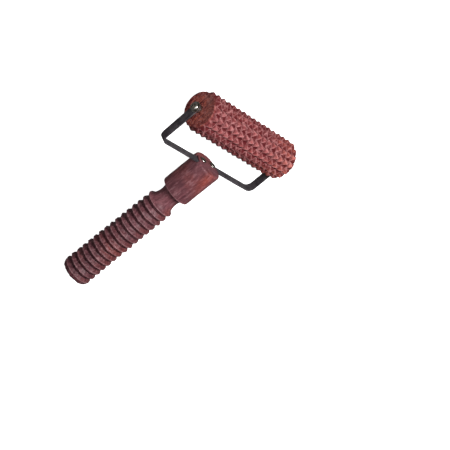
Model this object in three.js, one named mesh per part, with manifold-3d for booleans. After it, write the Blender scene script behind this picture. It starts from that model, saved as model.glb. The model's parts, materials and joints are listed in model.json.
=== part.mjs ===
// Hand-held wooden massage roller: a toothed roller turning between the arms of a bent
// flat-steel yoke, whose crossbar is let into the end of a turned, ribbed handle.
//
// Millimetres. The tool lies at rest on a table: +Z is up, the table is Z = 0, +X runs along
// the roller's axle and +Y from the handle's end towards the roller. The origin is at the
// middle of the tool's footprint. The yoke and roller are drawn about the roller's axle, the
// handle about the middle of its end face, and the whole tool is then laid down on the table.
import * as THREE from "three";
import { mergeVertices } from "three/addons/utils/BufferGeometryUtils.js";
import Module from "manifold-3d";

const wasm = await Module();
wasm.setup();

// Running and seating gap left between neighbouring pieces.
const GAP = 0.3;

// Roller: rings of pyramid teeth, cut by V-grooves round it and along it. The rings start a
// little way in from the left end, which leaves a plain margin there.
const ROLLER_LENGTH = 127;
const TIP_RADIUS = 20;
const ROOT_RADIUS = 16.8;
const RINGS = 16;
const RING_PITCH = 7.8;
const RING_SHIFT = 2;
const ROWS = 15;
const PILOT_DEPTH = 18.5;

// Yoke: one flat strip, bent at two corners, with a round end on each arm.
const STRIP_WIDTH = 8;
const STRIP_THICKNESS = 1.5;
const ARM_X = 67.5;
const CROSSBAR_Y = -43;
const BEND_RADIUS = 6;
const AXLE_HOLE_RADIUS = 2.2;

// Handle: a plain head, a waist, and a grip of V-shaped ribs that grows a little to its end.
// Its axis passes over the middle of the strip and leans slightly out of the yoke's plane.
const STRIP_DEPTH = 2;
const HANDLE_RISE = 2;
const HANDLE_PITCH = THREE.MathUtils.degToRad(1);
const HEAD_RADIUS = 15.6;
const HEAD_LENGTH = 40.3;
const HEAD_ROUNDING = 2.2;
const WAIST_RADIUS = 10.1;
const WAIST_FALL = 8;
const RIBS = 16;
const FIRST_RIB = 59.8;
const RIB_PITCH = 7;
const FIRST_RIB_RADIUS = 14.6;
const LAST_RIB_RADIUS = 15.7;
const GROOVE_DEPTH = 2.8;
const CREST_SHARE = 0.14;
const CREST_FALL = 0.4;
const END_LENGTH = 5;
const END_ROUNDING = 3.2;

// Fixings.
const AXLE_SHANK_RADIUS = 1.9;
const AXLE_SHANK_LENGTH = 24;
const AXLE_HEAD_RADIUS = 4;
const AXLE_HEAD_HEIGHT = 2.6;
const CROSS_LENGTH = 5;
const CROSS_WIDTH = 1.1;
const WASHER_RADIUS = 5;
const WASHER_THICKNESS = 1;
const SPACER_RADIUS = 4;
const HANDLE_SCREW_X = 7;
const HANDLE_SCREW_HOLE_DEPTH = 18;
const HANDLE_SCREW_SHANK_RADIUS = 1.4;
const HANDLE_SCREW_SHANK_LENGTH = 17;
const HANDLE_SCREW_HEAD_RADIUS = 3.2;
const HANDLE_SCREW_HEAD_HEIGHT = 1.7;
const SLOT_WIDTH = 0.9;

const handleScrewHoleRadius = HANDLE_SCREW_SHANK_RADIUS + GAP;

function standard(color, roughness, metalness) {
  return new THREE.MeshStandardMaterial({ color, roughness, metalness });
}
const rollerWood = standard(0x96504b, 0.55, 0);
const handleWood = standard(0x6f4144, 0.4, 0);
const blackSteel = standard(0x2d2d30, 0.45, 0.3);
const zincSteel = standard(0xb9b4ac, 0.3, 1);

// A closed three.js geometry as a solid that can be joined and cut.
function solid(geometry) {
  const bare = geometry.clone();
  bare.deleteAttribute("normal");
  bare.deleteAttribute("uv");
  const merged = mergeVertices(bare, 1e-4);
  const index = merged.index.array;
  const triangles = [];
  for (let i = 0; i < index.length; i += 3) {
    const [a, b, c] = index.slice(i, i + 3);
    if (a !== b && b !== c && c !== a) triangles.push(a, b, c);
  }
  const mesh = new wasm.Mesh({
    numProp: 3,
    vertProperties: new Float32Array(merged.attributes.position.array),
    triVerts: new Uint32Array(triangles),
  });
  return new wasm.Manifold(mesh);
}

function geometryOf(body) {
  const mesh = body.getMesh();
  const geometry = new THREE.BufferGeometry();
  geometry.setAttribute("position", new THREE.BufferAttribute(mesh.vertProperties, 3));
  geometry.setIndex(new THREE.BufferAttribute(mesh.triVerts, 1));
  geometry.computeVertexNormals();
  return geometry;
}

function piece(name, geometry, material) {
  const mesh = new THREE.Mesh(geometry, material);
  mesh.name = name;
  return mesh;
}

// A turned shape about Y, from [radius, y] pairs listed from its low end to its high end.
function turned(profile, segments) {
  return new THREE.LatheGeometry(profile.map(([radius, y]) => new THREE.Vector2(radius, y)), segments);
}

// A plain ring about Y: a washer or a sleeve.
function ring(outer, inner, height) {
  const half = height / 2;
  return turned([[inner, -half], [outer, -half], [outer, half], [inner, half], [inner, -half]], 24);
}

// A flat outline given a thickness, half of it on each side of Z = 0.
function extruded(outline, depth, curveSegments) {
  const geometry = new THREE.ExtrudeGeometry(outline, { depth, bevelEnabled: false, curveSegments });
  return geometry.translate(0, 0, -depth / 2);
}

// A cylinder along Y about a point, used as a drill.
function drill(radius, length, x, y, z) {
  return solid(new THREE.CylinderGeometry(radius, radius, length, 16).translate(x, y, z));
}

// Points of part of an ellipse as [radius, y] pairs, for the curves of a turned outline.
function curve([centreRadius, centreY], across, along, from, to, steps) {
  return Array.from({ length: steps + 1 }, (_, i) => {
    const angle = THREE.MathUtils.degToRad(from + ((to - from) * i) / steps);
    return [centreRadius + across * Math.cos(angle), centreY + along * Math.sin(angle)];
  });
}

// LatheGeometry splits every quad the same way. A quad that holds a tooth's tip is split from
// the tip to the opposite corner, so that each tooth is an even pyramid.
function foldAlongRidges(geometry) {
  const position = geometry.attributes.position;
  const index = geometry.index;
  const isTip = (i) => Math.hypot(position.getX(i), position.getZ(i)) > ROOT_RADIUS + GAP;
  for (let i = 0; i < index.count; i += 6) {
    const [a, b, d, c] = [0, 1, 2, 3].map((k) => index.getX(i + k));
    if (isTip(a) || isTip(c)) [a, b, c, c, d, a].forEach((vertex, k) => index.setX(i + k, vertex));
  }
}

// The roller is turned to rings of ridges and roots, then every second column of the turned
// surface is sunk to the root, which leaves a pyramid where a ring and a row cross.
function rollerGeometry() {
  const end = ROLLER_LENGTH / 2;
  const pilotRadius = AXLE_SHANK_RADIUS + GAP;
  const profile = [[0, PILOT_DEPTH - end], [pilotRadius, PILOT_DEPTH - end]];
  profile.push([pilotRadius, -end], [ROOT_RADIUS, -end]);
  for (let i = 0; i < RINGS; i += 1) {
    const y = (i - (RINGS - 1) / 2) * RING_PITCH + RING_SHIFT;
    profile.push([ROOT_RADIUS, y - RING_PITCH / 2], [TIP_RADIUS, y]);
  }
  profile.push([ROOT_RADIUS, end], [pilotRadius, end]);
  profile.push([pilotRadius, end - PILOT_DEPTH], [0, end - PILOT_DEPTH]);

  const geometry = turned(profile, 2 * ROWS);
  const position = geometry.attributes.position;
  for (let i = 0; i < position.count; i += 1) {
    const column = Math.floor(i / profile.length);
    const radius = Math.hypot(position.getX(i), position.getZ(i));
    const betweenRows = column % 2 === 1;
    if (betweenRows && radius > ROOT_RADIUS) {
      const sink = ROOT_RADIUS / radius;
      position.setX(i, position.getX(i) * sink);
      position.setZ(i, position.getZ(i) * sink);
    }
  }
  foldAlongRidges(geometry);
  return geometry.rotateZ(-Math.PI / 2);
}

// The strip's bent outline in the plane of the yoke, then its round ends and its holes.
function yokeGeometry() {
  const outline = new THREE.Shape();
  const half = STRIP_THICKNESS / 2;
  const top = STRIP_WIDTH / 2 + 1;
  const outer = BEND_RADIUS + half;
  const inner = BEND_RADIUS - half;
  const bendX = ARM_X - BEND_RADIUS;
  const bendY = CROSSBAR_Y + BEND_RADIUS;
  outline.moveTo(-ARM_X - half, top);
  outline.absarc(-bendX, bendY, outer, Math.PI, 1.5 * Math.PI, false);
  outline.absarc(bendX, bendY, outer, 1.5 * Math.PI, 2 * Math.PI, false);
  outline.lineTo(ARM_X + half, top);
  outline.lineTo(ARM_X - half, top);
  outline.absarc(bendX, bendY, inner, 2 * Math.PI, 1.5 * Math.PI, true);
  outline.absarc(-bendX, bendY, inner, 1.5 * Math.PI, Math.PI, true);
  outline.lineTo(-ARM_X + half, top);
  outline.closePath();
  const strip = extruded(outline, STRIP_WIDTH, 6);

  const side = new THREE.Shape();
  const low = CROSSBAR_Y - BEND_RADIUS;
  const wide = STRIP_WIDTH / 2;
  side.moveTo(-wide - 1, low);
  side.lineTo(wide + 1, low);
  side.lineTo(wide + 1, -1);
  side.lineTo(wide, 0);
  side.absarc(0, 0, wide, 0, Math.PI, false);
  side.lineTo(-wide - 1, -1);
  side.closePath();
  const span = 2 * ARM_X + 10;
  const roundEnds = extruded(side, span, 16).rotateY(Math.PI / 2);

  const axleHole = new THREE.CylinderGeometry(AXLE_HOLE_RADIUS, AXLE_HOLE_RADIUS, span, 20);
  axleHole.rotateZ(Math.PI / 2);
  let body = solid(strip).intersect(solid(roundEnds)).subtract(solid(axleHole));
  for (const x of [-HANDLE_SCREW_X, HANDLE_SCREW_X]) {
    body = body.subtract(drill(handleScrewHoleRadius, STRIP_WIDTH, x, CROSSBAR_Y, 0));
  }
  return geometryOf(body);
}

// The handle's outline from its end face at Y = 0 down to the end of the grip.
function handleProfile() {
  const ribRadius = (i) => THREE.MathUtils.lerp(FIRST_RIB_RADIUS, LAST_RIB_RADIUS, i / (RIBS - 1));
  const edge = [HEAD_RADIUS - HEAD_ROUNDING, -HEAD_ROUNDING];
  const points = [[0, 0], ...curve(edge, HEAD_ROUNDING, HEAD_ROUNDING, 90, 0, 3)];
  points.push([HEAD_RADIUS, -HEAD_LENGTH]);

  // The waist curves in under the head's shoulder and flares out again to the first rib.
  const neck = HEAD_LENGTH + WAIST_FALL;
  const shoulder = HEAD_RADIUS - HEAD_ROUNDING / 2 - WAIST_RADIUS;
  const flare = FIRST_RIB_RADIUS - CREST_FALL - WAIST_RADIUS;
  const flareEnd = FIRST_RIB - CREST_SHARE * RIB_PITCH;
  points.push(...curve([WAIST_RADIUS + shoulder, -neck], shoulder, WAIST_FALL, 100, 180, 5));
  points.push(...curve([WAIST_RADIUS + flare, -neck], flare, flareEnd - neck, 198, 270, 5));

  for (let i = 0; i < RIBS; i += 1) {
    const depth = FIRST_RIB + i * RIB_PITCH;
    const shoulderOffset = CREST_SHARE * RIB_PITCH;
    if (i > 0) {
      points.push([ribRadius(i - 0.5) - GROOVE_DEPTH, RIB_PITCH / 2 - depth]);
      points.push([ribRadius(i) - CREST_FALL, shoulderOffset - depth]);
    }
    points.push([ribRadius(i), -depth], [ribRadius(i) - CREST_FALL, -depth - shoulderOffset]);
  }

  const endY = -(FIRST_RIB + (RIBS - 1) * RIB_PITCH + END_LENGTH);
  const corner = [LAST_RIB_RADIUS - CREST_FALL - END_ROUNDING, endY + END_ROUNDING];
  points.push(...curve(corner, END_ROUNDING, END_ROUNDING, -20, -80, 3), [0, endY]);
  return points.reverse();
}

function handleGeometry() {
  const slotDepth = STRIP_DEPTH + STRIP_THICKNESS / 2 + GAP;
  const slot = new THREE.BoxGeometry(4 * HEAD_RADIUS, 2 * slotDepth, STRIP_WIDTH + 2 * GAP);
  slot.translate(0, 0, -HANDLE_RISE);
  let handle = solid(turned(handleProfile(), 24)).subtract(solid(slot));
  for (const x of [-HANDLE_SCREW_X, HANDLE_SCREW_X]) {
    const hole = drill(handleScrewHoleRadius, 2 * HANDLE_SCREW_HOLE_DEPTH, x, 0, -HANDLE_RISE);
    handle = handle.subtract(hole);
  }
  return geometryOf(handle);
}

// The wooden filler that closes the slot over the strip: its ends follow the head's round side.
function slotKeyGeometry() {
  const height = STRIP_DEPTH - STRIP_THICKNESS / 2 - GAP;
  const reach = HEAD_RADIUS - HEAD_ROUNDING;
  const bar = new THREE.BoxGeometry(4 * HEAD_RADIUS, height, STRIP_WIDTH);
  bar.translate(0, -height / 2, -HANDLE_RISE);
  const rounder = new THREE.CylinderGeometry(reach, reach, 4 * height, 48);
  let key = solid(bar).intersect(solid(rounder));
  for (const x of [-HANDLE_SCREW_X, HANDLE_SCREW_X]) {
    key = key.subtract(drill(handleScrewHoleRadius, 4 * height, x, 0, -HANDLE_RISE));
  }
  return geometryOf(key);
}

// A domed screw about Y with its head's seat at Y = 0, and its driving recess cut into the dome.
function screwGeometry(shankRadius, shankLength, headRadius, headHeight, recess) {
  const pointLength = 1.6 * shankRadius;
  const rim = 0.3 * headHeight;
  const screw = turned([
    [0, -shankLength], [shankRadius, pointLength - shankLength], [shankRadius, 0], [headRadius, 0],
    ...curve([0, rim], headRadius, headHeight - rim, 0, 67.5, 3), [0, headHeight],
  ], 20);
  let body = solid(screw);
  for (const [wide, deep] of recess) {
    const cutter = new THREE.BoxGeometry(wide, headHeight, deep).translate(0, headHeight, 0);
    body = body.subtract(solid(cutter));
  }
  return geometryOf(body);
}

const yokeGroup = new THREE.Group();
const handleGroup = new THREE.Group();
const rollerGroup = new THREE.Group();

yokeGroup.add(piece("yoke", yokeGeometry(), blackSteel));
rollerGroup.add(piece("roller", rollerGeometry(), rollerWood));
handleGroup.add(piece("handle", handleGeometry(), handleWood));
handleGroup.add(piece("slot_key", slotKeyGeometry(), handleWood));
handleGroup.position.set(0, CROSSBAR_Y + STRIP_DEPTH, HANDLE_RISE);
handleGroup.rotation.x = HANDLE_PITCH;

// Each side's axle: a spacer between roller and arm, a washer outside the arm, and a domed
// screw through both into the roller's end. A second screw holds the crossbar to the handle.
const armInside = ARM_X - STRIP_THICKNESS / 2;
const armOutside = ARM_X + STRIP_THICKNESS / 2;
const spacerLength = armInside - ROLLER_LENGTH / 2 - 2 * GAP;
const screwSeat = armOutside + WASHER_THICKNESS + 2 * GAP;
for (const [side, sign] of [["left", -1], ["right", 1]]) {
  const spacerGeometry = ring(SPACER_RADIUS, AXLE_HOLE_RADIUS, spacerLength);
  const spacer = piece(`spacer_${side}`, spacerGeometry, zincSteel);
  spacer.position.x = sign * (armInside - GAP - spacerLength / 2);

  const washerGeometry = ring(WASHER_RADIUS, AXLE_HOLE_RADIUS, WASHER_THICKNESS);
  const washer = piece(`washer_${side}`, washerGeometry, zincSteel);
  washer.position.x = sign * (armOutside + GAP + WASHER_THICKNESS / 2);

  const axleGeometry = screwGeometry(
    AXLE_SHANK_RADIUS, AXLE_SHANK_LENGTH, AXLE_HEAD_RADIUS, AXLE_HEAD_HEIGHT,
    [[CROSS_LENGTH, CROSS_WIDTH], [CROSS_WIDTH, CROSS_LENGTH]],
  );
  const axleScrew = piece(`axle_screw_${side}`, axleGeometry, zincSteel);
  axleScrew.position.x = sign * screwSeat;

  for (const fixing of [spacer, washer, axleScrew]) fixing.rotation.z = (-sign * Math.PI) / 2;

  const handleScrewGeometry = screwGeometry(
    HANDLE_SCREW_SHANK_RADIUS, HANDLE_SCREW_SHANK_LENGTH,
    HANDLE_SCREW_HEAD_RADIUS, HANDLE_SCREW_HEAD_HEIGHT,
    [[SLOT_WIDTH, 3 * HANDLE_SCREW_HEAD_RADIUS]],
  );
  const handleScrew = piece(`handle_screw_${side}`, handleScrewGeometry, zincSteel);
  handleScrew.position.set(sign * HANDLE_SCREW_X, GAP, -HANDLE_RISE);

  yokeGroup.add(spacer, washer);
  rollerGroup.add(axleScrew);
  handleGroup.add(handleScrew);
}

// Laying the tool down: the roller rests on two rows of teeth and the handle on its last rib.
handleGroup.updateMatrix();
const restHeight = TIP_RADIUS * Math.cos(Math.PI / ROWS);
const lastRib = new THREE.Vector3(0, -FIRST_RIB - (RIBS - 1) * RIB_PITCH, 0);
lastRib.applyMatrix4(handleGroup.matrix);
const tilt = Math.asin((LAST_RIB_RADIUS - restHeight - lastRib.z) / lastRib.y);
const tool = new THREE.Group();
tool.add(yokeGroup, handleGroup, rollerGroup);
tool.rotation.x = tilt;
rollerGroup.rotation.x = -tilt;

const model = new THREE.Group();
model.add(tool);
model.updateMatrixWorld(true);
const box = new THREE.Box3().setFromObject(model, true);
const middle = box.getCenter(new THREE.Vector3());
tool.position.set(-middle.x, -middle.y, -box.min.z);

export default model;
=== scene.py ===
"""The looks of the wooden massage roller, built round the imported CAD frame."""

import json
import math

import bmesh
import bpy
import numpy as np
from mathutils import Matrix, Vector


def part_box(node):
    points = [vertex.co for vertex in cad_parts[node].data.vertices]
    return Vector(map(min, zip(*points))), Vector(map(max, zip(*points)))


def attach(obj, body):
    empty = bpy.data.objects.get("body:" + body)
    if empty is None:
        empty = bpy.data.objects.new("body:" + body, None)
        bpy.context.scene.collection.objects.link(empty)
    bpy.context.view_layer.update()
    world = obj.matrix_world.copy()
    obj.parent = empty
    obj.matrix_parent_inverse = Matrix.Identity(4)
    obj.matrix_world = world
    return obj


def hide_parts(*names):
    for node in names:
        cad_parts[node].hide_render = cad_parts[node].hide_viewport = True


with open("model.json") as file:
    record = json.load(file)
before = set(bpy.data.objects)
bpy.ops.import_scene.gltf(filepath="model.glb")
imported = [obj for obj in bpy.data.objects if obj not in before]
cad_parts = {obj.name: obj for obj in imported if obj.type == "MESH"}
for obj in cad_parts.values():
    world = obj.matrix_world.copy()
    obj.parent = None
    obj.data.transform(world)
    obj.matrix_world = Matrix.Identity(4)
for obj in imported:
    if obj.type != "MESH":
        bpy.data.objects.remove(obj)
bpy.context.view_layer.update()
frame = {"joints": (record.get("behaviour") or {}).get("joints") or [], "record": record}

MM = 0.001

# ---------------------------------------------------------------- places, from the frame
# Pieces are drawn in millimetres. The yoke and the roller are drawn about the axle, with X
# along it, Y up the handle and Z out of the yoke's plane. The handle is drawn about the middle
# of its end face, Y up its own axis, which leans a little out of the yoke's plane.
HANDLE_PITCH = math.radians(1.0)
MOUNT_RISE = 9.0
joint = frame["joints"][0]
head_mount = next(m for m in frame["record"]["mounts"] if m["name"] == "head_end_face")
AXLE = Vector(joint["pos_m"])
ACROSS = Vector(joint["axis"])
HEADWARD = Vector(head_mount["axis"])
HANDLE_AXES = Matrix((ACROSS, HEADWARD, ACROSS.cross(HEADWARD))).transposed()
head_end = Vector(head_mount["pos_m"]) - HANDLE_AXES.col[2] * MOUNT_RISE * MM
HANDLE = Matrix.Translation(head_end) @ HANDLE_AXES.to_4x4()
TOOL_AXES = HANDLE_AXES @ Matrix.Rotation(-HANDLE_PITCH, 3, "X")
TOOL = Matrix.Translation(AXLE) @ TOOL_AXES.to_4x4()
SPINNER = Matrix.Translation(AXLE)
head_end_in_tool = TOOL.inverted() @ head_end / MM


def size(node, axis):
    low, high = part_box(node)
    return (high[axis] - low[axis]) / MM


ROLLER_LENGTH = size("roller", 0)
TIP_RADIUS = (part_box("roller")[1].z - AXLE.z) / MM
ARM_OUTER_X = size("yoke", 0) / 2
GRIP_RADIUS = size("handle", 0) / 2

# ---------------------------------------------------------------- sizes of the detail, mm
ROOT_RADIUS = 16.8
RINGS = 16
RING_PITCH = 7.8
RING_SHIFT = 2.0
ROWS = 15
TOOTH_CELLS = 12
PILOT_DEPTH_SHOWN = 7.0
FACE_RELIEF = 0.5
# RIM_RELIEF, lower than FACE_RELIEF, paints shade along the outer rim of the roller's end face.
RIM_RELIEF = 0.24
RIM_ROWS = 6
CUT_DEPTH = 0.35

STRIP_WIDTH = 8.0
STRIP_THICKNESS = 1.5
STRIP_DEPTH = 2.0
CROSSBAR_Y = head_end_in_tool.y - STRIP_DEPTH
HANDLE_RISE = head_end_in_tool.z
BEND_RADIUS = 6.0
AXLE_HOLE_RADIUS = 2.2

HEAD_RADIUS = 15.6
HEAD_LENGTH = 40.3
HEAD_ROUNDING = 2.2
WAIST_RADIUS = 10.1
WAIST_FALL = 8.0
RIBS = 16
FIRST_RIB = 59.8
RIB_PITCH = 7.0
FIRST_RIB_RADIUS = 14.6
GROOVE_DEPTH = 2.8
END_LENGTH = 5.0
END_ROUNDING = 3.2
# Centre, mm in the handle's axes, of a patch of painted warm light on the head's side.
HEAD_LIGHT_PATCH = (-2.0, -8.0, 15.0)
HANDLE_COLUMNS = 168

WASHER_RADIUS = 5.0
WASHER_THICKNESS = 1.0
SPACER_RADIUS = 4.0
AXLE_HEAD_RADIUS = 4.0
AXLE_HEAD_HEIGHT = 2.6
AXLE_SHANK_RADIUS = 1.9
HANDLE_SCREW_X = 7.0
HANDLE_SCREW_RADIUS = 3.2
HANDLE_SCREW_HEIGHT = 1.7
HANDLE_SHANK_RADIUS = 1.4
HANDLE_SHANK_LENGTH = 17.0
HANDLE_SCREW_SLOT = (0.9, 8.0)
AXLE_SHANK_SHOWN = 12.0
AXLE_CROSS = (5.0, 1.3)
FIXING_COLUMNS = 48
GAP = 0.3

dice = np.random.default_rng(11)


# ---------------------------------------------------------------- mesh helpers
def new_object(name, vertices, faces, matrix):
    """A mesh piece from millimetre vertices, placed by matrix, with its faces pointing out."""
    mesh = bpy.data.meshes.new(name)
    mesh.from_pydata((np.asarray(vertices) * MM).tolist(), [], faces)
    obj = bpy.data.objects.new(name, mesh)
    bpy.context.scene.collection.objects.link(obj)
    obj.matrix_world = matrix
    work = bmesh.new()
    work.from_mesh(mesh)
    bmesh.ops.recalc_face_normals(work, faces=work.faces)
    work.to_mesh(mesh)
    work.free()
    return obj


def grid_faces(rows, columns, wrap_rows=False):
    """Quads of a tube of vertices, rows by columns, wrapped round its columns."""
    i = np.arange(rows if wrap_rows else rows - 1)[:, None]
    j = np.arange(columns)[None, :]
    i_next, j_next = (i + 1) % rows, (j + 1) % columns
    this_row, next_row = i * columns, i_next * columns
    quads = [this_row + j, this_row + j_next, next_row + j_next, next_row + j]
    return np.stack(np.broadcast_arrays(*quads), -1).reshape(-1, 4).tolist()


def turned(name, along, radius, matrix, axis="Y", ring=False, fold=False):
    """A turned piece. along and radius give each row of the surface, one value or one for each
    column. A piece that isn't a ring is closed with a point on the axis at both ends."""
    radius = np.asarray(radius, float)
    along = np.broadcast_to(np.asarray(along, float).reshape(len(radius), -1), radius.shape)
    rows, columns = radius.shape
    angle = np.linspace(0, 2 * math.pi, columns, endpoint=False)
    sideways, upward = radius * np.sin(angle), radius * np.cos(angle)
    order = (sideways, along, upward) if axis == "Y" else (along, sideways, upward)
    vertices = np.stack(order, -1).reshape(-1, 3)
    faces = grid_faces(rows, columns, wrap_rows=ring)
    if fold:
        faces = fold_quads(faces, radius.reshape(-1))
    if not ring:
        poles = [along[k].mean() for k in (0, -1)]
        ends = [[0, pole, 0] if axis == "Y" else [pole, 0, 0] for pole in poles]
        vertices = np.vstack([vertices, ends])
        for pole, start in ((rows * columns, 0), (rows * columns + 1, (rows - 1) * columns)):
            faces += [(pole, start + j, start + (j + 1) % columns) for j in range(columns)]
    return new_object(name, vertices, faces, matrix)


def fold_quads(faces, height):
    """Splits each quad along the diagonal that falls the most, so that ridges stay sharp."""
    quads = np.array(faces)
    fall_a = np.abs(height[quads[:, 0]] - height[quads[:, 2]])
    fall_b = np.abs(height[quads[:, 1]] - height[quads[:, 3]])
    along_a = np.where((fall_a >= fall_b)[:, None], quads, np.roll(quads, -1, axis=1))
    return np.vstack([along_a[:, [0, 1, 2]], along_a[:, [2, 3, 0]]]).tolist()


# Which of an outline's two coordinates (0, 1) and the height (2) goes to each of X, Y and Z.
PRISM_ORDER = {"X": (2, 1, 0), "Y": (0, 2, 1), "Z": (0, 1, 2)}


def prism(name, outline, low, high, matrix, axis="Z"):
    """An outline of two coordinates, extruded from low to high along the third."""
    count = len(outline)
    order = PRISM_ORDER[axis]
    vertices = [[(a, b, c)[k] for k in order] for c in (low, high) for a, b in outline]
    faces = [list(range(count)), list(range(count, 2 * count))]
    faces += [[j, (j + 1) % count, count + (j + 1) % count, count + j] for j in range(count)]
    return new_object(name, vertices, faces, matrix)


def arc(centre, radius, start, end, steps):
    """Points of an arc, angles in degrees."""
    angles = np.radians(np.linspace(start, end, steps + 1))
    return [(centre[0] + radius * math.cos(a), centre[1] + radius * math.sin(a)) for a in angles]


def apply_modifiers(obj):
    depsgraph = bpy.context.evaluated_depsgraph_get()
    mesh = bpy.data.meshes.new_from_object(obj.evaluated_get(depsgraph))
    obj.modifiers.clear()
    obj.data = mesh


def carve(obj, cutters, operation="DIFFERENCE"):
    """Cuts obj by each cutter, or keeps what they share, and removes the cutters."""
    for cutter in cutters:
        modifier = obj.modifiers.new("carve", "BOOLEAN")
        modifier.operation = operation
        modifier.solver = "EXACT"
        modifier.object = cutter
    bpy.context.view_layer.update()
    apply_modifiers(obj)
    for cutter in cutters:
        bpy.data.objects.remove(cutter)


def round_edges(obj, width, segments=2, angle=35):
    modifier = obj.modifiers.new("edges", "BEVEL")
    modifier.width = width * MM
    modifier.segments = segments
    modifier.limit_method = "ANGLE"
    modifier.angle_limit = math.radians(angle)
    apply_modifiers(obj)


def shade(obj, sharp_angle=40):
    """Smooth shading, broken at edges sharper than sharp_angle degrees."""
    work = bmesh.new()
    work.from_mesh(obj.data)
    for face in work.faces:
        face.smooth = True
    limit = math.radians(sharp_angle)
    for edge in work.edges:
        edge.smooth = len(edge.link_faces) != 2 or edge.calc_face_angle(0) < limit
    work.to_mesh(obj.data)
    work.free()


def lumps(points, wavelength, seed):
    """A smooth random field in about -1..1 at each point, from a few crossed waves."""
    waves = np.random.default_rng(seed)
    field = np.zeros(len(points))
    for _ in range(9):
        direction = waves.normal(size=3)
        direction /= np.linalg.norm(direction)
        stretch = waves.uniform(0.7, 1.6)
        turns = points @ direction * (2 * math.pi / (wavelength * stretch))
        field += np.sin(turns + waves.uniform(0, 6.28))
    return field / 3.0


def push_along_normals(obj, amounts):
    """Moves each vertex along its normal by its amount, in millimetres."""
    mesh = obj.data
    normals = np.empty(len(mesh.vertices) * 3)
    mesh.vertex_normals.foreach_get("vector", normals)
    points = np.empty(len(mesh.vertices) * 3)
    mesh.vertices.foreach_get("co", points)
    points = points.reshape(-1, 3) + normals.reshape(-1, 3) * (amounts * MM)[:, None]
    mesh.vertices.foreach_set("co", points.reshape(-1))
    mesh.update()


def points_of(obj):
    points = np.empty(len(obj.data.vertices) * 3)
    obj.data.vertices.foreach_get("co", points)
    return points.reshape(-1, 3) / MM


def paint(obj, name, values):
    """Stores one number for each vertex, which the materials read back by name."""
    attribute = obj.data.attributes.new(name, "FLOAT", "POINT")
    attribute.data.foreach_set("value", np.asarray(values, np.float32))


# ---------------------------------------------------------------- material helpers
def material(name):
    made = bpy.data.materials.new(name)
    made.use_nodes = True
    return made, made.node_tree, made.node_tree.nodes["Principled BSDF"]


def add(tree, kind, inputs=None, **settings):
    """Adds a shader node, sets its options and inputs, and returns its outputs."""
    node = tree.nodes.new("ShaderNode" + kind)
    for key, value in settings.items():
        setattr(node, key, value)
    for key, value in (inputs or {}).items():
        if isinstance(value, bpy.types.NodeSocket):
            tree.links.new(value, node.inputs[key])
        else:
            node.inputs[key].default_value = value
    return node.outputs


def stretched(tree, scale):
    """Object coordinates, scaled so that one unit is one feature along each axis."""
    where = add(tree, "TexCoord")["Object"]
    return add(tree, "Mapping", {"Vector": where, "Scale": scale})["Vector"]


def noise(tree, scale, detail=4.0, roughness=0.55, distortion=0.0):
    """Noise with the given features per metre along each of the piece's own axes."""
    sockets = {
        "Vector": stretched(tree, scale), "Scale": 1.0,
        "Detail": detail, "Roughness": roughness, "Distortion": distortion,
    }
    return add(tree, "TexNoise", sockets)["Fac"]


def spread(tree, value, low, high, to_low=0.0, to_high=1.0):
    """Maps value from low..high to to_low..to_high, clamped."""
    sockets = {
        "Value": value, "From Min": low, "From Max": high, "To Min": to_low, "To Max": to_high,
    }
    return add(tree, "MapRange", sockets)["Result"]


def math_node(tree, operation, a, b=0.0):
    return add(tree, "Math", {0: a, 1: b}, operation=operation)[0]


def mix(tree, share, a, b):
    return add(tree, "Mix", {0: share, 6: a, 7: b}, data_type="RGBA")[2]


def bump(tree, height, depth, under=None):
    """A bump of the given depth in millimetres."""
    sockets = {"Height": height, "Distance": depth * MM, "Strength": 1.0}
    if under is not None:
        sockets["Normal"] = under
    return add(tree, "Bump", sockets)["Normal"]


def rgb(red, green, blue):
    """A colour given as the 0..255 numbers of a screen colour, made linear."""
    shares = [channel / 255 for channel in (red, green, blue)]
    return [s / 12.92 if s <= 0.04045 else ((s + 0.055) / 1.055) ** 2.4 for s in shares] + [1.0]


def grain_scale(grain, along, first, second):
    """Features per metre along the fibres and along the two axes across them."""
    across = [axis for axis in "XYZ" if axis != grain]
    return [{grain: along, across[0]: first, across[1]: second}[axis] for axis in "XYZ"]


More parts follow.
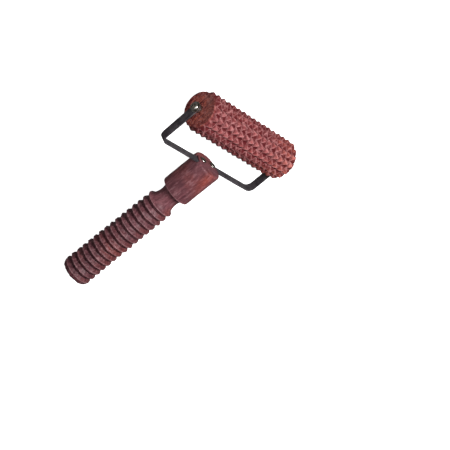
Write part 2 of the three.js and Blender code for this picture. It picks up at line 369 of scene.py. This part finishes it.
def wood(name, base, deep, pale, warm, dusty, grain, gloss, speckle):
    """Lacquered red-brown wood. grain is the local axis that the fibres follow and gloss the
    lacquer's weight. The pieces' own numbers say where the end grain is cut and where shade,
    highlights and warm light are painted on."""
    made, tree, shader = material(name)
    fibres = noise(tree, grain_scale(grain, 60, 420, 420), 5.0, 0.65, 0.5)
    bands = noise(tree, grain_scale(grain, 9, 130, 130), 3.0, 0.5, 0.8)
    pores = noise(tree, grain_scale(grain, 260, 1300, 1300), 2.0, 0.6)
    cut_rings = noise(tree, grain_scale(grain, 1, 120, 420), 4.0, 0.6, 1.6)
    patches = noise(tree, (28.0, 28.0, 28.0), 2.0)
    blotches = noise(tree, (230.0, 230.0, 230.0), 4.0, 0.6)
    mottle = noise(tree, grain_scale(grain, 130, 420, 420), 3.0, 0.7, 0.3)
    relief, flank, ridge, end_grain, painted_shade, warm_light = (
        add(tree, "Attribute", attribute_name=each)["Fac"]
        for each in ("relief", "flank", "ridge", "end_grain", "painted_shade", "warm_light")
    )

    colour = mix(tree, spread(tree, bands, 0.38, 0.68, 0.0, 0.7), base, deep)
    colour = mix(tree, spread(tree, patches, 0.47, 0.7, 0.0, 0.6), colour, warm)
    colour = mix(tree, spread(tree, fibres, 0.42, 0.66, 0.0, 0.55), colour, deep)
    face = mix(tree, spread(tree, cut_rings, 0.42, 0.57), warm, deep)
    face = mix(tree, spread(tree, patches, 0.42, 0.6, 0.0, 0.5), face, dusty)
    # Painted shade on the roller's side turned from the light and over the handle's grip.
    colour = mix(tree, painted_shade, colour, deep)
    # Painted warm light, on the head's side and towards the roller's +X end.
    colour = mix(tree, warm_light, colour, warm)
    colour = mix(tree, end_grain, colour, face)
    # Painted shade on the teeth's side faces.
    colour = mix(tree, math_node(tree, "MULTIPLY", flank, 0.8), colour, deep)
    # Painted shade where the relief is low: tooth roots, the deeper valley, the grooves' bottoms
    # and the rim of the roller's end face.
    colour = mix(tree, spread(tree, relief, 0.0, 0.5, 0.85, 0.0), colour, deep)
    # Painted highlights on tooth edges and tips and on rib crests, of random strength in patches.
    highlight_mask = math_node(tree, "MAXIMUM", ridge, spread(tree, relief, 0.8, 1.0))
    worn = spread(tree, blotches, 0.35, 0.65, 0.25, 0.7)
    colour = mix(tree, math_node(tree, "MULTIPLY", highlight_mask, worn), colour, pale)
    colour = mix(tree, spread(tree, mottle, 0.53, 0.64, 0.0, 1.2 * speckle), colour, pale)
    colour = mix(tree, spread(tree, mottle, 0.49, 0.37, 0.0, 2.2 * speckle), colour, deep)
    specks = spread(tree, pores, 0.6, 0.72, 0.0, 0.6)
    colour = mix(tree, specks, colour, [channel * 0.35 for channel in deep[:3]] + [1.0])
    tree.links.new(colour, shader.inputs["Base Color"])

    tree.links.new(spread(tree, blotches, 0.25, 0.75, 0.42, 0.7), shader.inputs["Roughness"])
    shader.inputs["Specular IOR Level"].default_value = 0.16
    shader.inputs["Coat Weight"].default_value = gloss
    shader.inputs["Coat Roughness"].default_value = 0.42

    fine = math_node(tree, "SUBTRACT", fibres, math_node(tree, "MULTIPLY", specks, 0.8))
    normal = bump(tree, blotches, 0.16, bump(tree, fine, 0.09))
    tree.links.new(normal, shader.inputs["Normal"])
    return made


def black_paint():
    """Black enamel on hot-rolled strip: soft lumps, fine scratches and greyer worn patches."""
    made, tree, shader = material("black_paint")
    lumps_fac = noise(tree, (160.0, 160.0, 160.0), 3.0)
    grit = noise(tree, (1500.0, 1500.0, 1500.0), 2.0)
    scratches = noise(tree, (60.0, 60.0, 2600.0), 3.0, 0.7)
    worn = spread(tree, scratches, 0.58, 0.74, 0.0, 0.55)
    colour = mix(tree, spread(tree, lumps_fac, 0.35, 0.7), rgb(46, 42, 46), rgb(78, 73, 77))
    colour = mix(tree, worn, colour, rgb(92, 88, 88))
    tree.links.new(colour, shader.inputs["Base Color"])
    tree.links.new(spread(tree, lumps_fac, 0.3, 0.7, 0.32, 0.55), shader.inputs["Roughness"])
    shader.inputs["Specular IOR Level"].default_value = 0.2
    normal = bump(tree, grit, 0.03, bump(tree, lumps_fac, 0.12))
    tree.links.new(normal, shader.inputs["Normal"])
    return made


def zinc():
    """Bright zinc plate with faint turning marks and duller, slightly yellow patches."""
    made, tree, shader = material("zinc_plate")
    patches = noise(tree, (450.0, 450.0, 450.0), 3.0)
    marks = noise(tree, (5000.0, 900.0, 900.0), 2.0)
    dull = spread(tree, patches, 0.35, 0.65)
    colour = mix(tree, dull, rgb(190, 186, 180), rgb(132, 122, 104))
    tree.links.new(colour, shader.inputs["Base Color"])
    tree.links.new(spread(tree, patches, 0.3, 0.7, 0.16, 0.36), shader.inputs["Roughness"])
    shader.inputs["Metallic"].default_value = 1.0
    tree.links.new(bump(tree, marks, 0.02), shader.inputs["Normal"])
    return made


# deep gives grain, pores and speckle and also the painted shade; pale gives speckle and the
# painted highlights; warm gives patches, end grain and the painted warm light.
ROLLER_WOOD = wood(
    "roller_wood", base=rgb(160, 82, 82), deep=rgb(84, 24, 28), pale=rgb(196, 136, 136),
    warm=rgb(176, 90, 74), dusty=rgb(134, 94, 88), grain="X", gloss=0.0, speckle=0.3,
)
HANDLE_WOOD = wood(
    "handle_wood", base=rgb(128, 78, 84), deep=rgb(62, 30, 37), pale=rgb(176, 132, 136),
    warm=rgb(156, 72, 58), dusty=rgb(120, 84, 88), grain="Y", gloss=0.12, speckle=0.2,
)
BLACK_PAINT = black_paint()
ZINC = zinc()


def finish_piece(obj, look, slot, body, *nodes):
    """Gives a piece its material, lets it stand for its CAD nodes and ride a body. slot is not
    used.
    """
    obj.data.materials.clear()
    obj.data.materials.append(look)
    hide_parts(*nodes)
    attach(obj, body)


# ---------------------------------------------------------------- roller
def tooth_heights(columns):
    """Height of the toothed surface, 0 at a root and 1 at a tip, one row for each step along.
    Every tooth is a pyramid of its own, with its tip a little off centre and a little worn."""
    steps = RINGS * TOOTH_CELLS
    u = (np.arange(steps + 1) % TOOTH_CELLS) / TOOTH_CELLS * 2 - 1
    v = ((np.arange(columns) + TOOTH_CELLS / 2) % TOOTH_CELLS) / TOOTH_CELLS * 2 - 1
    ring = np.minimum(np.arange(steps + 1) // TOOTH_CELLS, RINGS - 1)
    row = ((np.arange(columns) + TOOTH_CELLS // 2) // TOOTH_CELLS) % ROWS
    tip_u, tip_v = dice.normal(0, 0.05, (2, RINGS, ROWS))
    tip_u, tip_v = tip_u[ring][:, row], tip_v[ring][:, row]
    rise_u = 1 - (u[:, None] - tip_u) / np.where(u[:, None] > tip_u, 1 - tip_u, -1 - tip_u)
    rise_v = 1 - (v[None, :] - tip_v) / np.where(v[None, :] > tip_v, 1 - tip_v, -1 - tip_v)
    height = np.clip(np.minimum(rise_u, rise_v), 0, 1)
    worn = 1 - np.abs(dice.normal(0, 0.04, (RINGS, ROWS)))
    chipped = dice.random((RINGS, ROWS)) < 0.05
    worn[chipped] = dice.uniform(0.7, 0.85, chipped.sum())
    # flank marks each tooth's side faces, which the material darkens as painted shade.
    flank = np.clip((rise_u - rise_v) * 4 + 0.5, 0, 1)
    # ridge marks each tooth's edges, which the material paints as highlights.
    ridge = np.clip(1 - np.abs(rise_u - rise_v) * 4, 0, 1)
    return np.minimum(height, worn[ring][:, row]), flank, ridge


def build_roller():
    end = ROLLER_LENGTH / 2
    columns = ROWS * TOOTH_CELLS
    teeth, flank, ridge = tooth_heights(columns)
    tooth_along = np.linspace(-RINGS / 2, RINGS / 2, len(teeth)) * RING_PITCH + RING_SHIFT
    kept = tooth_along < end - 0.3
    teeth, flank, ridge, tooth_along = teeth[kept], flank[kept], ridge[kept], tooth_along[kept]
    face_radii = np.linspace(AXLE_HOLE_RADIUS + 0.5, ROOT_RADIUS - 0.5, 14)
    face = [(AXLE_HOLE_RADIUS, PILOT_DEPTH_SHOWN), (AXLE_HOLE_RADIUS, 0.4)]
    face += [(r, 0.0) for r in face_radii]
    left = face + [(ROOT_RADIUS - 0.15, 0.12), (ROOT_RADIUS, 0.5), (ROOT_RADIUS, 1.7)]
    left_radius = np.array([[r] * columns for r, _ in left])
    left_along = np.array([d for _, d in left]) - end
    right_radius = np.array([[r] * columns for r, _ in reversed(face)])
    right_along = end - np.array([d for _, d in reversed(face)])
    toothed_radius = ROOT_RADIUS + (TIP_RADIUS - ROOT_RADIUS) * teeth
    # One valley between two rows is cut a little deeper, along the whole roller, and its
    # lowered relief paints shade into it.
    cut = int((1 - 0.5 / ROWS) * columns)
    toothed_radius[:, cut - 1:cut + 2] -= [[0.1, CUT_DEPTH, 0.1]]
    teeth[:, cut - 1:cut + 2] *= [[0.4, 0.0, 0.4]]
    radius = np.vstack([left_radius, toothed_radius, toothed_radius[-1:] - 0.3, right_radius])
    along = np.concatenate([left_along, tooth_along, [end], right_along])
    obj = turned("roller_body", along, radius, SPINNER, axis="X", fold=True)
    rim = np.full_like(left_radius, FACE_RELIEF)
    # The outer rows of the end face get a low relief, which paints shade along its rim.
    rim[-RIM_ROWS:] = RIM_RELIEF
    none = np.zeros_like(rim)
    painted = (("relief", teeth, rim), ("flank", flank, none), ("ridge", ridge, none))
    for name, values, plain in painted:
        rows = [plain, values, values[-1:], np.full_like(right_radius, plain[0, 0])]
        paint(obj, name, np.append(np.vstack(rows).reshape(-1), [plain[0, 0]] * 2))
    points = points_of(obj)
    outside = np.hypot(points[:, 1], points[:, 2]) > AXLE_HOLE_RADIUS + 1
    paint(obj, "end_grain", np.clip((np.abs(points[:, 0]) - end + 2.0) / 1.8, 0, 1))
    # Painted shade, growing on the sides of the roller turned away from the light.
    turn = np.degrees(np.arctan2(points[:, 1], points[:, 2])) - 28 + 7 * lumps(points, 30.0, 8)
    paint(obj, "painted_shade", np.clip((np.abs(turn) - 36) / 14, 0, 0.8))
    # Painted warm light, growing towards the roller's +X end.
    paint(obj, "warm_light", np.clip((points[:, 0] - 15) / 70, 0, 0.6))
    uneven = 0.1 * lumps(points, 9.0, 3) + 0.05 * lumps(points, 2.4, 4) - 0.06
    push_along_normals(obj, outside * uneven)
    shade(obj, 25)
    finish_piece(obj, ROLLER_WOOD, "roller_wood", "spinner", "roller")


# ---------------------------------------------------------------- handle
def rib_radius(depth):
    """Radius over the ribs' crests, which grows slowly towards the end of the grip."""
    share = (depth - FIRST_RIB) / ((RIBS - 1) * RIB_PITCH)
    return FIRST_RIB_RADIUS + (GRIP_RADIUS - FIRST_RIB_RADIUS) * share


def ellipse(centre, across, along, start, end, steps):
    """Rows of (radius, depth) along part of an ellipse, angles in degrees."""
    angles = np.radians(np.linspace(start, end, steps + 1))
    return [(centre[0] + across * math.cos(a), centre[1] - along * math.sin(a)) for a in angles]


def handle_outline():
    """Rows of (radius, depth below the head's end, relief) from the head's end to the grip's."""
    edge = (HEAD_RADIUS - HEAD_ROUNDING, HEAD_ROUNDING)
    rows = [(r, 0.0, 0.6) for r in np.linspace(1.5, edge[0] - 0.4, 12)]
    rows += [(r, d, 0.75) for r, d in ellipse(edge, HEAD_ROUNDING, HEAD_ROUNDING, 90, 0, 8)]
    rows += [(HEAD_RADIUS, d, 0.6) for d in np.arange(3.2, HEAD_LENGTH - 0.8, 1.2)]
    # The lip under the head gets a high relief, which paints a highlight line along it.
    lip = ((0.0, 0.6), (0.15, 0.15), (0.5, 0.0))
    rows += [(HEAD_RADIUS - r, HEAD_LENGTH - d, 0.97) for r, d in lip]
    neck = HEAD_LENGTH + WAIST_FALL
    shoulder = HEAD_RADIUS - HEAD_ROUNDING / 2 - WAIST_RADIUS
    flare = FIRST_RIB_RADIUS - 0.3 - WAIST_RADIUS
    flare_run = FIRST_RIB - 0.8 - neck
    waist = ellipse((WAIST_RADIUS + shoulder, neck), shoulder, WAIST_FALL, 96, 180, 16)
    waist += ellipse((WAIST_RADIUS + flare, neck), flare, flare_run, 186, 268, 16)
    rows += [(r, d, 0.5) for r, d in waist]
    shares = np.linspace(-0.5, 0.5, 17)[1:]
    for rib in range(RIBS):
        for share in shares[7:] if rib == 0 else shares:
            if rib == RIBS - 1 and share > 0.13:
                continue
            depth = FIRST_RIB + (rib + share) * RIB_PITCH
            fall = (math.hypot(2 * share, 0.12) - 0.12) / 0.887
            rows.append((rib_radius(depth) - GROOVE_DEPTH * fall, depth, 1 - fall))
    last = FIRST_RIB + (RIBS - 1) * RIB_PITCH
    corner = (GRIP_RADIUS - 0.5 - END_ROUNDING, last + END_LENGTH - END_ROUNDING)
    rows += [(r, d, 0.7) for r, d in ellipse(corner, END_ROUNDING, END_ROUNDING, 0, -84, 12)]
    rows += [(r, last + END_LENGTH, 0.65) for r in np.linspace(corner[0] - 1, 1.5, 10)]
    return np.array(rows)


def build_handle():
    outline = handle_outline()
    radius = np.repeat(outline[:, :1], HANDLE_COLUMNS, axis=1)
    obj = turned("handle_body", -outline[:, 1], radius, HANDLE)
    relief = np.append(np.repeat(outline[:, 2], HANDLE_COLUMNS), [0.6, 0.6])
    # Low relief paints shade into the grooves' bottoms.
    paint(obj, "relief", np.minimum(1 - (1 - relief) ** 3, 0.8))
    # ridge paints highlights along the rib crests and the head's lip.
    paint(obj, "ridge", np.clip((relief - 0.86) * 7, 0, 0.8))
    points = points_of(obj)
    paint(obj, "end_grain", np.clip(points[:, 1].min() + 1 - points[:, 1], 0, 0.6))
    ribbed = np.clip((-points[:, 1] - FIRST_RIB) / 6, 0, 1)
    coarse = 0.05 * lumps(points, 11.0, 5)
    cuts = ribbed * (0.22 * lumps(points, 3.6, 6) + 0.1 * lumps(points, 1.9, 7))
    # Painted shade over the ribbed grip, and a little from the waist down.
    paint(obj, "painted_shade", 0.32 * ribbed + 0.15 * np.clip((-points[:, 1] - HEAD_LENGTH) / 4, 0, 1))
    # A patch of painted warm light on the head's side.
    from_patch = np.linalg.norm((points - HEAD_LIGHT_PATCH) / (6, 11, 6), axis=1)
    paint(obj, "warm_light", 0.65 * np.exp(-from_patch ** 2))
    push_along_normals(obj, coarse + cuts - 0.06)
    floor_y = -STRIP_DEPTH - STRIP_THICKNESS / 2 - GAP
    half_slot = STRIP_WIDTH / 2 + GAP
    outline = [(-20, floor_y), (20, floor_y), (20, 2), (-20, 2)]
    slot = prism("slot_cutter", outline, -HANDLE_RISE - half_slot, half_slot - HANDLE_RISE, HANDLE)
    carve(obj, [slot])
    shade(obj, 38)
    finish_piece(obj, HANDLE_WOOD, "handle_wood", "grip", "handle")


def build_slot_key():
    low = GAP + STRIP_THICKNESS / 2 - STRIP_DEPTH
    reach = HEAD_RADIUS - HEAD_ROUNDING
    near, far = STRIP_WIDTH / 2 - HANDLE_RISE, -STRIP_WIDTH / 2 - HANDLE_RISE
    from_angle, to_angle = (math.degrees(math.asin(z / reach)) for z in (far, near))
    outline = arc((0, 0), reach, from_angle, to_angle, 6)
    outline += arc((0, 0), reach, 180 - to_angle, 180 - from_angle, 6)
    obj = prism("slot_filler", outline, low, 0, HANDLE, axis="Y")
    round_edges(obj, 0.2)
    paint(obj, "relief", np.full(len(obj.data.vertices), 0.7))
    shade(obj)
    finish_piece(obj, HANDLE_WOOD, "handle_wood", "grip", "slot_key")


# ---------------------------------------------------------------- yoke
def build_yoke():
    half = STRIP_THICKNESS / 2
    arm = ARM_OUTER_X - half
    bend_x, bend_y = arm - BEND_RADIUS, CROSSBAR_Y + BEND_RADIUS
    top = STRIP_WIDTH / 2 + 1
    outline = [(-arm - half, top)]
    outline += arc((-bend_x, bend_y), BEND_RADIUS + half, 180, 270, 16)
    outline += arc((bend_x, bend_y), BEND_RADIUS + half, 270, 360, 16)
    outline += [(arm + half, top), (arm - half, top)]
    outline += arc((bend_x, bend_y), BEND_RADIUS - half, 360, 270, 16)
    outline += arc((-bend_x, bend_y), BEND_RADIUS - half, 270, 180, 16)
    outline += [(-arm + half, top)]
    wide = STRIP_WIDTH / 2
    obj = prism("yoke_strip", outline, -wide, wide, TOOL)
    side = [(-wide - 1, -60), (wide + 1, -60), (wide + 1, -1)]
    side += arc((0, 0), wide, 0, 180, 24) + [(-wide - 1, -1)]
    carve(obj, [prism("end_cutter", side, -90, 90, TOOL, axis="X")], "INTERSECT")
    hole = arc((0, 0), AXLE_HOLE_RADIUS, 0, 360, 32)[:-1]
    carve(obj, [prism("hole_cutter", hole, -90, 90, TOOL, axis="X")])
    round_edges(obj, 0.28, 3, 50)
    shade(obj, 30)
    finish_piece(obj, BLACK_PAINT, "black_steel", "grip", "yoke")


# ---------------------------------------------------------------- fixings
def domed_screw(name, matrix, head_radius, head_height, shank_radius, shank_length, recess):
    """A screw about Y with its head's seat at Y = 0. recess lists the recess's bars, mm."""
    rim = 0.3 * head_height
    angles = np.radians(np.linspace(4, 84, 10))
    rise = head_height - rim
    profile = [(0.2, -shank_length), (shank_radius, 2 - shank_length), (shank_radius, 0)]
    profile += [(head_radius - 0.2, 0), (head_radius, 0.2), (head_radius, rim)]
    profile += [(head_radius * math.cos(a), rim + rise * math.sin(a)) for a in angles]
    radius = np.array([[r] * FIXING_COLUMNS for r, _ in profile])
    obj = turned(name, [y for _, y in profile], radius, matrix)
    floor = head_height * 0.5
    cutters = []
    for wide, deep in recess:
        x, z = wide / 2, deep / 2
        corners = [(-x, -z), (x, -z), (x, z), (-x, z)]
        cutters.append(prism("recess_cutter", corners, floor, head_height + 1, matrix, axis="Y"))
    carve(obj, cutters)
    round_edges(obj, 0.1, 2, 40)
    shade(obj, 30)
    return obj


def flat_ring(name, outer, inner, height, matrix):
    half, edge = height / 2, 0.15
    corners = [
        (inner, -half + edge), (inner + edge, -half), (outer - edge, -half), (outer, -half + edge),
        (outer, half - edge), (outer - edge, half), (inner + edge, half), (inner, half - edge),
    ]
    radius = np.array([[r] * FIXING_COLUMNS for r, _ in corners])
    obj = turned(name, [y for _, y in corners], radius, matrix, ring=True)
    shade(obj, 30)
    return obj


def on_axle(sign, x):
    """A place on the axle, x mm out to one side, with Y pointing away from the roller."""
    outward = Matrix.Rotation(-sign * math.pi / 2, 4, "Z")
    return TOOL @ Matrix.Translation((sign * x * MM, 0, 0)) @ outward


def build_fixings():
    arm_inner, arm_outer = ARM_OUTER_X - STRIP_THICKNESS, ARM_OUTER_X
    spacer_length = arm_inner - ROLLER_LENGTH / 2 - 2 * GAP
    spacer_x = arm_inner - GAP - spacer_length / 2
    washer_x = arm_outer + GAP + WASHER_THICKNESS / 2
    seat_x = arm_outer + 2 * GAP + WASHER_THICKNESS
    for side, sign in (("left", -1), ("right", 1)):
        spacer = flat_ring(
            f"spacer_sleeve_{side}", SPACER_RADIUS, AXLE_HOLE_RADIUS, spacer_length,
            on_axle(sign, spacer_x),
        )
        finish_piece(spacer, ZINC, "zinc_steel", "grip", f"spacer_{side}")
        washer = flat_ring(
            f"washer_disc_{side}", WASHER_RADIUS, AXLE_HOLE_RADIUS, WASHER_THICKNESS,
            on_axle(sign, washer_x),
        )
        finish_piece(washer, ZINC, "zinc_steel", "grip", f"washer_{side}")
        axle = domed_screw(
            f"axle_pan_screw_{side}", on_axle(sign, seat_x), AXLE_HEAD_RADIUS, AXLE_HEAD_HEIGHT,
            AXLE_SHANK_RADIUS, AXLE_SHANK_SHOWN, [AXLE_CROSS, AXLE_CROSS[::-1]],
        )
        finish_piece(axle, ZINC, "zinc_steel", "spinner", f"axle_screw_{side}")
        seat = Vector((sign * HANDLE_SCREW_X, GAP, -HANDLE_RISE)) * MM
        screw = domed_screw(
            f"head_screw_{side}", HANDLE @ Matrix.Translation(seat), HANDLE_SCREW_RADIUS,
            HANDLE_SCREW_HEIGHT, HANDLE_SHANK_RADIUS, HANDLE_SHANK_LENGTH, [HANDLE_SCREW_SLOT],
        )
        finish_piece(screw, ZINC, "zinc_steel", "grip", f"handle_screw_{side}")


# ---------------------------------------------------------------- stage
# The photographed view, in the yoke's own axes: an azimuth, an elevation and a roll about a
# point in the yoke's plane.
VIEW_AZIMUTH = math.radians(-113.015)
VIEW_ELEVATION = math.radians(35.31)
VIEW_ROLL = math.radians(154.808)
VIEW_DISTANCE = 1552.05
VIEW_AIM = Vector((87.465, -88.498, 0.0))
VIEW_LENS = 130.18
FLOOR_GLOW = 1.0
FLOOR_HALF_WIDTH = 6000.0
WORLD_LIGHT = 0.16
# Direction in the yoke's own axes, distance m, width m and power W of each light.
KEY_LIGHT = ((-0.25, 0.65, 0.72), 0.9, 0.35, 11)
FILL_LIGHT = ((-0.9, 0.15, 0.4), 0.9, 0.5, 1.6)
LIGHT_AIM = (0, -0.08, 0)


def build_camera():
    data = bpy.data.cameras.new("camera")
    data.lens = VIEW_LENS
    data.sensor_width = 36.0
    data.clip_start, data.clip_end = 0.01, 50.0
    camera = bpy.data.objects.new("camera", data)
    level = math.cos(VIEW_ELEVATION)
    back = Vector((
        math.sin(VIEW_AZIMUTH) * level, -math.cos(VIEW_AZIMUTH) * level, math.sin(VIEW_ELEVATION),
    ))
    upright = (-back).to_track_quat("-Z", "Y").to_matrix().to_4x4()
    position = Matrix.Translation((VIEW_AIM + back * VIEW_DISTANCE) * MM)
    camera.matrix_world = TOOL @ position @ upright @ Matrix.Rotation(VIEW_ROLL, 4, "Z")
    bpy.context.scene.collection.objects.link(camera)
    bpy.context.scene.camera = camera


def softbox(name, direction, distance, width, power):
    """A round soft light that shines on the tool from a direction in the yoke's own axes."""
    data = bpy.data.lights.new(name, "AREA")
    data.shape = "DISK"
    data.size = width
    data.energy = power
    light = bpy.data.objects.new(name, data)
    aim = TOOL @ Vector(LIGHT_AIM)
    way = (TOOL_AXES @ Vector(direction)).normalized()
    light.location = aim + way * distance
    light.rotation_euler = way.to_track_quat("Z", "Y").to_euler()
    bpy.context.scene.collection.objects.link(light)


def build_stage():
    made, tree, shader = material("pale_floor")
    cloud = noise(tree, (3.0, 3.0, 3.0), 2.0)
    colour = mix(tree, cloud, rgb(250, 250, 250), rgb(247, 247, 247))
    tree.links.new(colour, shader.inputs["Base Color"])
    shader.inputs["Roughness"].default_value = 0.9
    shader.inputs["Emission Color"].default_value = (1, 1, 1, 1)
    shader.inputs["Emission Strength"].default_value = FLOOR_GLOW
    half = FLOOR_HALF_WIDTH
    corners = [(-half, -half, 0), (half, -half, 0), (half, half, 0), (-half, half, 0)]
    floor = new_object("floor", corners, [(0, 1, 2, 3)], Matrix.Identity(4))
    floor.data.materials.append(made)
    floor.visible_diffuse = False
    floor.visible_glossy = False

    world = bpy.data.worlds.new("studio")
    world.use_nodes = True
    world.node_tree.nodes["Background"].inputs["Color"].default_value = (1, 1, 1, 1)
    world.node_tree.nodes["Background"].inputs["Strength"].default_value = WORLD_LIGHT
    bpy.context.scene.world = world
    bpy.context.scene.view_settings.view_transform = "Standard"
    softbox("key", *KEY_LIGHT)
    softbox("fill", *FILL_LIGHT)


build_camera()
build_roller()
build_handle()
build_slot_key()
build_yoke()
build_fixings()
build_stage()
